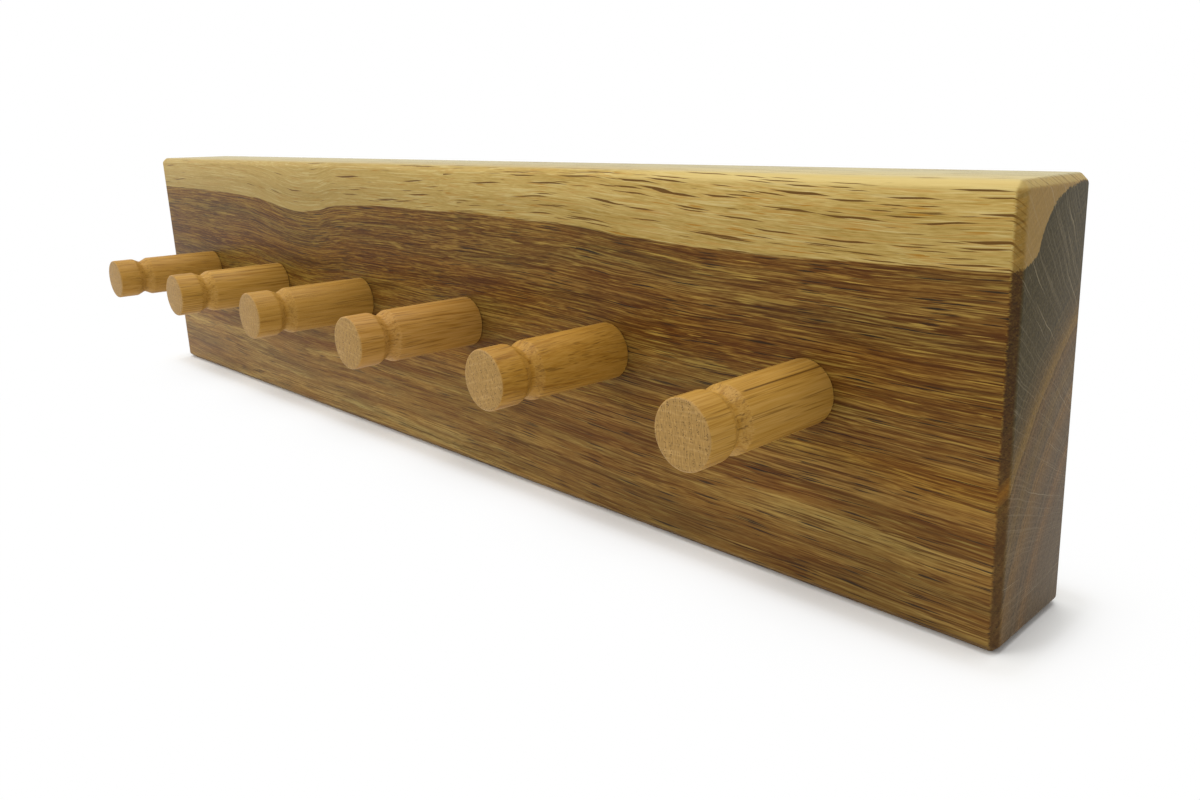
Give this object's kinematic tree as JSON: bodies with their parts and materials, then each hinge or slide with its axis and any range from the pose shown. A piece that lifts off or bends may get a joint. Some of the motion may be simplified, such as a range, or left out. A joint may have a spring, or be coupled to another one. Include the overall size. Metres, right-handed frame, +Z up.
{
  "type": "key rack",
  "caption": "Chamfered oak board with a row of turned pegs, each grooved behind its tip to catch a key ring, hung on the wall by keyhole plates let into its back.",
  "frame": {"origin": "middle of the board's flat back face, on the wall", "axes": "+X along the board to the right seen from the front, +Y into the wall, +Z up; the pegs point along -Y"},
  "size_m": [0.33, 0.057, 0.075],
  "materials": {
    "board_oak": "oiled, satin",
    "peg_oak": "oiled, satin",
    "plate_steel": "zinc plated",
    "screw_steel": "zinc plated"
  },
  "bodies": {
    "root": {"backboard": "board_oak", "peg_1": "peg_oak", "peg_2": "peg_oak", "peg_3": "peg_oak", "peg_4": "peg_oak", "peg_5": "peg_oak", "peg_6": "peg_oak", "hanger_plate_left": "plate_steel", "hanger_screw_left_upper": "screw_steel", "hanger_screw_left_lower": "screw_steel", "hanger_plate_right": "plate_steel", "hanger_screw_right_upper": "screw_steel", "hanger_screw_right_lower": "screw_steel"}
  },
  "joints": []
}
